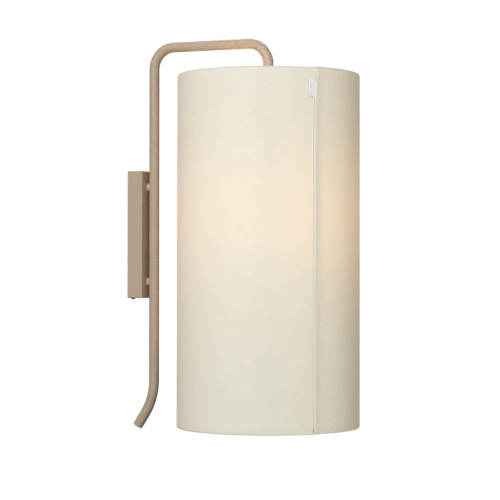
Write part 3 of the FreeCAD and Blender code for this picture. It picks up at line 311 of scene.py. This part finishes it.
def tape():
    """Edge of the glued strip, tan, with a pale margin of clear glue and a painted glow of the
    bulb's light through it.
    """
    mix = Recipe("lap_tape_edge")
    along, _, _ = mix.axes(mix.node("UVMap", {"uv_map": "cut"}).outputs[0])
    _, _, height = mix.axes()
    glue_edge, glue_fade = 0.0017, 0.0005
    margin = 1.0 - ((along + glue_edge) / glue_fade).clipped()
    streak = mix.noise(1.0, 2.0, mix.stretched((260.0, 260.0, 60.0)))
    tan = mix.mix(streak, rgb(0.62, 0.50, 0.34), rgb(0.72, 0.59, 0.42))
    # painted glow of the bulb's light through the tape
    shine = (lamp_falloff(height) * 0.15 + 0.18).clipped()
    return mix.finish({
        "Base Color": mix.mix(margin, tan, rgb(0.84, 0.83, 0.77)), "Roughness": 0.6,
        "Emission Color": mix.mix(shine, BLACK, rgb(1.0, 0.74, 0.38)),
        "Emission Strength": 1.0, "Normal": mix.bump(streak, 0.0001, 0.4)})


def satin():
    """Fine-ribbed satin ribbon with a painted glow of the shade's light through it, and tan painted
    warm shade past the fold.
    """
    mix = Recipe("white_label_satin")
    cut = mix.node("UVMap", {"uv_map": "cut"}).outputs[0]
    along, up, _ = mix.axes(cut)
    rib_pitch, edge_shade_from = 0.00045, 0.0118
    rib = (up * (2 * math.pi / rib_pitch)).sine() * 0.5 + 0.5
    thread = mix.noise(1.0, 2.0, mix.stretched((400.0, 2600.0, 1.0), cut))
    white = mix.mix((thread * 0.7 + rib * 0.3).clipped(), rgb(0.78, 0.80, 0.86),
                    rgb(0.88, 0.90, 0.96))
    # painted warm shade: the fold and the layer past it are tan
    back = along > edge_shade_from
    return mix.finish({
        "Base Color": mix.mix(back, white, rgb(0.64, 0.50, 0.35)), "Roughness": 0.42,
        "Sheen Weight": 0.2,
        # painted glow of the shade's light through the ribbon; none past the fold
        "Emission Color": mix.mix(back, rgb(0.25, 0.26, 0.29), rgb(0.06, 0.04, 0.02)),
        "Emission Strength": 1.0, "Normal": mix.bump(rib * 0.5 + thread, 0.00008, 0.5)})


def opal_glass():
    """Lit opal glass, brightest at the middle of the globe."""
    mix = Recipe("lit_opal_glass")
    _, _, height = mix.axes()
    glow_reach = 0.05
    away = abs(height - GLOW_Z) / glow_reach
    hot = 1.0 - (away * away * 0.5).clipped()
    haze = mix.noise(60.0, 2.0)
    return mix.finish({
        "Base Color": mix.mix(haze, rgb(0.90, 0.88, 0.83), rgb(0.95, 0.93, 0.89)),
        "Roughness": 0.22,
        "Emission Color": mix.mix(hot, rgb(0.55, 0.36, 0.19), rgb(1.0, 0.80, 0.54)),
        "Emission Strength": 10.0, "Normal": mix.bump(haze, 0.0001, 0.2)})


def moulded(name, dark, light, rough, grain=500.0, depth=0.00008, spread=0.14):
    """A moulded, coated or fired surface: a soft cloud of tone and a fine grain."""
    mix = Recipe(name)
    fine, cloud = mix.noise(grain, 3.0), mix.noise(25.0, 2.0)
    return mix.finish({
        "Base Color": mix.mix((fine * 0.5 + cloud * 0.5).clipped(), dark, light),
        "Roughness": (fine * spread + (rough - spread / 2)).clipped(),
        "Normal": mix.bump(fine, depth, 0.5)})


def metal(name, dark, light, rough, scale=(90.0, 90.0, 1400.0), depth=0.00004):
    """Bare or plated metal: fine drawn lines and a little tarnish."""
    mix = Recipe(name)
    lines = mix.noise(1.0, 2.0, mix.stretched(scale))
    stain = mix.noise(70.0, 3.0)
    return mix.finish({
        "Base Color": mix.mix((stain * 0.7 + lines * 0.3).clipped(), dark, light),
        "Metallic": 1.0, "Roughness": (lines * 0.18 + stain * 0.12 + (rough - 0.15)).clipped(),
        "Normal": mix.bump(lines, depth, 0.4)})


def striped(name, first, second):
    """Wire insulation with a stripe down each side."""
    mix = Recipe(name)
    along, across, _ = mix.axes()
    fine = mix.noise(700.0, 2.0)
    stripe = ((along * 2400.0 + across * 900.0).sine() > 0.2) * 1.0
    return mix.finish({
        "Base Color": mix.mix(stripe, first, second), "Roughness": 0.45,
        "Normal": mix.bump(fine, 0.00005, 0.3)})


def make_finishes():
    return {
        "powder_coat": powder_coat(),
        "zinc_steel": metal("zinc_plate", rgb(0.50, 0.51, 0.53), rgb(0.68, 0.69, 0.70), 0.38),
        "screw_steel": metal("grey_screw_steel", rgb(0.36, 0.36, 0.36),
                             rgb(0.52, 0.52, 0.52), 0.42),
        "holder_plastic": moulded("black_holder_plastic", rgb(0.018, 0.018, 0.018),
                                  rgb(0.034, 0.034, 0.034), 0.48),
        "terminal_plastic": moulded("white_terminal_plastic", rgb(0.72, 0.72, 0.70),
                                    rgb(0.82, 0.82, 0.80), 0.35, 300.0),
        "bush_rubber": moulded("black_bush_rubber", rgb(0.022, 0.022, 0.022),
                               rgb(0.045, 0.045, 0.044), 0.75, 700.0, 0.00015),
        "brass": metal("plain_brass", rgb(0.60, 0.43, 0.18), rgb(0.80, 0.62, 0.31), 0.32),
        "socket_metal": metal("nickel_shell", rgb(0.58, 0.57, 0.55), rgb(0.76, 0.75, 0.72), 0.28),
        "carrier_ceramic": moulded("fired_ceramic", rgb(0.76, 0.75, 0.71), rgb(0.86, 0.85, 0.81),
                                   0.55, 900.0, 0.00012),
        "bulb_metal": metal("rolled_cap", rgb(0.62, 0.62, 0.62), rgb(0.80, 0.80, 0.79), 0.25),
        "bulb_black": moulded("black_glass_insulator", rgb(0.012, 0.012, 0.012),
                              rgb(0.024, 0.024, 0.024), 0.15, 200.0),
        "bulb_glass": opal_glass(),
        "shade_cloth": cloth(),
        "shade_liner": liner(),
        "lap_tape": tape(),
        "label_satin": satin(),
        "white_wire": moulded("white_coated_wire", rgb(0.74, 0.74, 0.72), rgb(0.84, 0.84, 0.82),
                              0.38, 350.0),
        "lead_sheath": moulded("white_lead_sheath", rgb(0.72, 0.72, 0.70), rgb(0.80, 0.80, 0.78),
                               0.45, 600.0),
        "core_insulation": striped("core_insulation", rgb(0.055, 0.075, 0.30),
                                   rgb(0.060, 0.085, 0.33)),
        "earth_insulation": striped("earth_insulation", rgb(0.10, 0.36, 0.06),
                                    rgb(0.72, 0.66, 0.05)),
    }


def dress(finishes):
    """Gives every CAD node the finish of its slot."""
    slots = {part["node"]: part["material_slot"] for part in frame["record"]["subparts"]}
    for name, item in nodes.items():
        for place in item.material_slots:
            place.material = finishes[slots[name]]


# ------------------------------------------------------------------ the wound shade
SEAM = 231.6                    # heading of the lap's edge, degrees from +X
TOP_R, FLARE = 0.142, 0.00075   # radius at the top, and how much wider the bottom is
STEP = 0.0012                   # how much further out the outer end of the cloth lies
SHADE_TOP, SHADE_H = 0.2483, 0.552
LIFT = 0.00288                  # from a ring's middle to the cloth's outer face
CLOTH = 0.0005                  # the cloth with its glue
SHEET_WALL, TAPE_WALL, RIBBON_WALL = 0.00046, 0.00012, 0.00016
LAP = 4.0                       # how far the turned-in strip reaches back, degrees
SAG, SAG_FROM = 0.0006, 200.0   # the lower hem hangs lower from here round to the lap
ARMS = (60.0, 180.0, 300.0)     # the spider's arms, degrees on from the lap
ARM_HALF = 1.35                 # half of an arm's notch in the upper hem
# the lap's edge wanders to the right near the rims: (height, degrees)
DRIFT = ((-0.304, 0.70), (-0.285, 0.25), (-0.250, -0.15), (-0.10, -0.10), (0.05, 0.0),
         (0.125, 0.10), (0.182, 0.45), (0.219, 1.10), (0.246, 2.10), (0.252, 2.30))
DRIFT_REACH = 12.0              # degrees on from the lap that wander with its edge


def drift(level):
    """How far the lap's edge stands off its straight line at a height, in degrees."""
    for (low, first), (high, second) in zip(DRIFT, DRIFT[1:]):
        if level <= high:
            share = max(0.0, (level - low) / (high - low))
            return first + (second - first) * share
    return DRIFT[-1][1]


def heading(turn):
    """The level direction at an angle on from the lap."""
    angle = math.radians(SEAM + turn)
    return Vector((math.cos(angle), math.sin(angle), 0.0))


def wall_radius(level):
    """Radius of the cloth's outer face at a height, before the lap's step."""
    return TOP_R + FLARE * (SHADE_TOP - level) / SHADE_H


def sheet_place(turn, depth, level, wrap=0.0, end=0):
    """A point depth under the sheet's outer face; wrap is its angle round a ring."""
    step = STEP * max(0.0, 1.0 - max(0.0, turn) / 360.0)
    if turn < DRIFT_REACH:
        reach = LAP if depth > CLOTH else DRIFT_REACH
        turn += drift(level) * max(0.0, 1.0 - max(0.0, turn) / reach)
    if not end:
        return heading(turn) * (wall_radius(level) + step - depth) + Vector((0, AXIS_Y, level))
    out = LIFT + step - depth
    sag = SAG * max(0.0, (turn - SAG_FROM) / (360.0 - SAG_FROM))
    rise = out if end > 0 else LIFT - depth + sag
    radius = wall_radius(level) - LIFT + out * math.cos(wrap)
    return heading(turn) * radius + Vector((0, AXIS_Y, level + end * rise * math.sin(wrap)))


def heights(count):
    """Heights from the lower ring to the upper one."""
    return [RING_LOW + (RING_TOP - RING_LOW) * k / count for k in range(count + 1)]


def sheet_rows():
    """(distance along the cut, height, angle round a ring, which ring) from low to high."""
    wraps = [math.radians(a) for a in (240, 232, 218, 203, 188, 173, 158, 143, 128, 112, 96,
                                       80, 64, 48, 32, 16)]
    arm = LIFT - CLOTH / 2
    rows = [(RING_LOW - arm * a, RING_LOW, a, -1) for a in wraps]
    rows += [(z, z, 0.0, 0) for z in heights(48)]
    rows += [(RING_TOP + arm * a, RING_TOP, a, 1) for a in reversed(wraps)]
    return rows


def sheet_columns():
    """(distance along the cut, turn, depth) from the turned-in edge to the hidden end."""
    near, deep = CLOTH / 2, CLOTH * 3 / 2
    fold_run = 0.0008
    radius = TOP_R + STEP
    columns = []
    for turn in (4.0, 3.4, 2.8, 2.2, 1.6, 1.0, 0.5, 0.15):
        columns.append((-math.radians(turn) * radius - fold_run, turn, deep))
    for k in range(7):
        phi = math.radians(-90 + 30 * k)
        shift = -math.degrees(near * math.cos(phi) / radius)
        columns.append((-fold_run + fold_run * k / 6, shift, CLOTH - near * math.sin(phi)))
    turns = [0.3, 0.6, 1.0, 1.5, 2.0, 2.7, 3.4, 4.2, 5.0, 6.0, 7.0, 8.0, 9.0]
    turn, pace, last_turn = 10.2, 1.2, 364.0
    while turn < last_turn - pace / 2:
        turns.append(turn)
        turn += pace
    turns.append(last_turn)
    for arm in ARMS:
        clear = [t for t in turns if abs(t - arm) > ARM_HALF + 0.15]
        turns = clear + [arm - ARM_HALF, arm + ARM_HALF]
    along = 0.0
    last = 0.0
    for turn in sorted(turns):
        along += math.radians(turn - last) * (TOP_R + STEP * (1 - min(1.0, turn / 360.0)))
        columns.append((along, turn, near))
        last = turn
    return columns


def cut_and_place(name, columns, rows, where, notch=None):
    """A flat cut of cloth, one grid column and row each, brought to where it hangs."""
    mesh = bpy.data.meshes.new(name)
    bm = bmesh.new()
    cut = bm.loops.layers.uv.new("cut")
    wide, high = len(columns) - 1, len(rows) - 1
    bmesh.ops.create_grid(bm, x_segments=wide, y_segments=high, size=1.0)
    spot = {}
    for vert in bm.verts:
        spot[vert] = (round((vert.co.x + 1) / 2 * wide), round((vert.co.y + 1) / 2 * high))
    waste = []
    for face in bm.faces:
        for loop in face.loops:
            i, j = spot[loop.vert]
            loop[cut].uv = (columns[i][0], rows[j][0])
        if notch and notch([spot[v] for v in face.verts]):
            waste.append(face)
    for vert, (i, j) in spot.items():
        vert.co = where(columns[i], rows[j])
    if waste:
        bmesh.ops.delete(bm, geom=waste, context="FACES")
    for face in bm.faces:
        face.smooth = True
    bm.to_mesh(mesh)
    bm.free()
    item = bpy.data.objects.new(name, mesh)
    scene.collection.objects.link(item)
    return item


def thicken(item, amount):
    """Gives a cut its thickness, half to each side."""
    wall = item.modifiers.new("wall", "SOLIDIFY")
    wall.thickness, wall.offset, wall.use_even_offset = amount, 0.0, False
    return item


def add_shade(finishes):
    columns, rows = sheet_columns(), sheet_rows()

    def at_an_arm(corners):
        """Whether a face of the upper hem lies in an arm's way, under its ring."""
        mid = sum(columns[i][1] for i, _ in corners) / 4
        wrap = sum(rows[j][2] for _, j in corners) / 4
        top = all(rows[j][3] >= 0 for _, j in corners)
        at_arm = any(abs(mid - arm) < ARM_HALF for arm in ARMS)
        return top and wrap > math.radians(128) and at_arm

    sheet = cut_and_place(
        "shade_fabric", columns, rows,
        lambda column, row: sheet_place(column[1], column[2], row[1], row[2], row[3]), at_an_arm)
    thicken(sheet, SHEET_WALL)
    sheet.data.materials.append(finishes["shade_cloth"])
    sheet.visible_diffuse = sheet.visible_glossy = False
    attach(sheet, "shade")
    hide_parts("shade_cloth", "hem_top", "hem_bottom", "lap_turn_in")
    columns[-1][0] - columns[0][0]
    rows[-1][0] - rows[0][0]
    return sheet


def add_tape(finishes):
    """The glued strip that peeps out along the lap's edge."""
    columns = [(x * MM, x * MM, 0.0) for x in (-2.9, -2.2, -1.5, -0.9, -0.3, 0.6, 1.6)]
    rows = [(z, z, 0.0, 0) for z in heights(46)]
    over_cloth = 0.00010

    def where(column, row):
        radius = wall_radius(row[1])
        turn = drift(row[1]) + math.degrees(column[1] / radius)
        return heading(turn) * (radius + over_cloth) + Vector((0, AXIS_Y, row[1]))

    strip = thicken(cut_and_place("lap_tape_strip", columns, rows, where), TAPE_WALL)
    strip.data.materials.append(finishes["lap_tape"])
    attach(strip, "shade")
    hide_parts("lap_tape")


def add_label(finishes):
    """A bare ribbon loop caught under the lap's edge, its fold standing a little off."""
    _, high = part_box("shade_label")
    tall, wide, skew = 0.0252, 0.0112, 0.0012
    tucked, foot, lean = -0.0010, 0.00035, 0.0007
    bend = 0.00028
    top = high.z - 0.0008
    seat = wall_radius(top) + 0.0003
    turn = drift(top - tall / 2)
    out, left = heading(turn), Vector((heading(turn).y, -heading(turn).x, 0.0))
    front = [(x * wide, foot + lean * x ** 1.6) for x in (0, .15, .3, .45, .6, .75, .88, 1)]
    fold = [(wide + bend * math.sin(math.radians(a)),
             foot + lean - bend + bend * math.cos(math.radians(a))) for a in (35, 75, 110)]
    back = [(wide + 0.0007, 0.00042), (wide + 0.0011, 0.00034), (wide + 0.0012, 0.00022)]
    path = [(tucked, foot)] + front + fold + back
    columns, along = [], tucked
    for k, (x, h) in enumerate(path):
        if k:
            along += math.hypot(x - path[k - 1][0], h - path[k - 1][1])
        columns.append((along, x, h))
    rows = [(tall * k / 20, tall * k / 20, 0.0, 0) for k in range(21)]

    def where(column, row):
        share = column[1] / wide
        up = top - skew - tall + row[1] + skew * share
        ripple = 0.00012 * math.sin(row[1] / tall * 5.0 + 0.6) * share
        return out * (seat + column[2] + ripple) + left * column[1] + Vector((0, AXIS_Y, up))

    label = thicken(cut_and_place("label_ribbon", columns, rows, where), RIBBON_WALL)
    label.data.materials.append(finishes["label_satin"])
    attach(label, "shade")
    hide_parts("shade_label")
    columns[-1][0] - columns[0][0]


# ------------------------------------------------------------------ studio
FLOOR_R, FLOOR_Z = 5.2, -1.75


def add_floor():
    bm = bmesh.new()
    bmesh.ops.create_circle(bm, cap_ends=True, radius=FLOOR_R, segments=96)
    mesh = bpy.data.meshes.new("studio_floor")
    bm.to_mesh(mesh)
    bm.free()
    for vert in mesh.vertices:
        vert.co.z = FLOOR_Z
    floor = bpy.data.objects.new("studio_floor", mesh)
    scene.collection.objects.link(floor)
    mix = Recipe("pale_floor")
    haze = mix.noise(3.0, 2.0)
    mesh.materials.append(mix.finish({
        "Base Color": mix.mix(haze, rgb(0.86, 0.86, 0.86), rgb(0.90, 0.90, 0.90)),
        "Roughness": 0.8, "Specular IOR Level": 0.2, "Emission Color": rgb(1.0, 1.0, 1.0),
        "Emission Strength": 0.38}))
    floor.visible_diffuse = floor.visible_glossy = False


def area_light(name, shape, size, power, colour):
    area = bpy.data.lights.new(name, "AREA")
    area.shape, area.energy, area.color = shape, power, colour
    area.size, area.size_y = size
    lamp = bpy.data.objects.new(name, area)
    scene.collection.objects.link(lamp)
    lamp.rotation_mode = "QUATERNION"
    lamp.visible_camera = False
    return lamp


def softbox(name, turn, rise, distance, size, power, colour=(1.0, 1.0, 1.0)):
    """A square light; turn is in degrees to the right of the camera's line."""
    back = -SIGHT.normalized()
    right = Vector((SIGHT.y, -SIGHT.x, 0.0))
    flat = back * math.cos(math.radians(turn)) + right * math.sin(math.radians(turn))
    ray = flat * math.cos(math.radians(rise)) + Vector((0, 0, math.sin(math.radians(rise))))
    lamp = area_light(name, "SQUARE", (size, size), power, colour)
    lamp.location = Vector((0, -0.2, 0)) + ray * distance
    lamp.rotation_quaternion = (-ray).to_track_quat("-Z", "Y")


def add_lights():
    softbox("key", -20.0, 19.0, 3.4, 1.4, 81.0)
    softbox("low_fill", -10.0, -14.0, 3.2, 1.3, 11.0)
    softbox("overhead", -10.0, 78.0, 3.0, 1.8, 22.0)
    softbox("left_fill", -75.0, 6.0, 3.2, 1.7, 1.2, (1.0, 0.80, 0.60))
    softbox("right_fill", 80.0, 6.0, 3.2, 1.7, 1.9, (1.0, 0.62, 0.30))
    softbox("back_fill", 180.0, 44.0, 3.4, 1.8, 62.0, (1.0, 0.90, 0.78))
    # what the lit shade gives back to the tube and the box
    glow = area_light("shade_glow", "RECTANGLE", (0.03, 0.42), 0.038, (1.0, 0.48, 0.15))
    glow.location = (0.0, -0.0915, 0.02)
    glow.rotation_quaternion = Vector((0, 1, 0)).to_track_quat("-Z", "Z")


def add_room():
    """White behind the object, a dim warm light all round it."""
    world = bpy.data.worlds.new("studio")
    world.use_nodes = True
    scene.world = world
    tree = world.node_tree
    tree.nodes.clear()
    seen = tree.nodes.new("ShaderNodeLightPath")
    dim, bright = (tree.nodes.new("ShaderNodeBackground") for _ in range(2))
    dim.inputs["Color"].default_value = rgb(1.0, 0.76, 0.50)
    dim.inputs["Strength"].default_value = 0.07
    bright.inputs["Color"].default_value = rgb(1.0, 1.0, 1.0)
    bright.inputs["Strength"].default_value = 1.02
    either = tree.nodes.new("ShaderNodeMixShader")
    out = tree.nodes.new("ShaderNodeOutputWorld")
    tree.links.new(seen.outputs["Is Camera Ray"], either.inputs[0])
    tree.links.new(dim.outputs[0], either.inputs[1])
    tree.links.new(bright.outputs[0], either.inputs[2])
    tree.links.new(either.outputs[0], out.inputs[0])


add_camera()
finishes = make_finishes()
dress(finishes)
add_shade(finishes)
add_tape(finishes)
add_label(finishes)
add_floor()
add_lights()
add_room()
scene.view_settings.view_transform = "Standard"
scene.view_settings.look = "None"
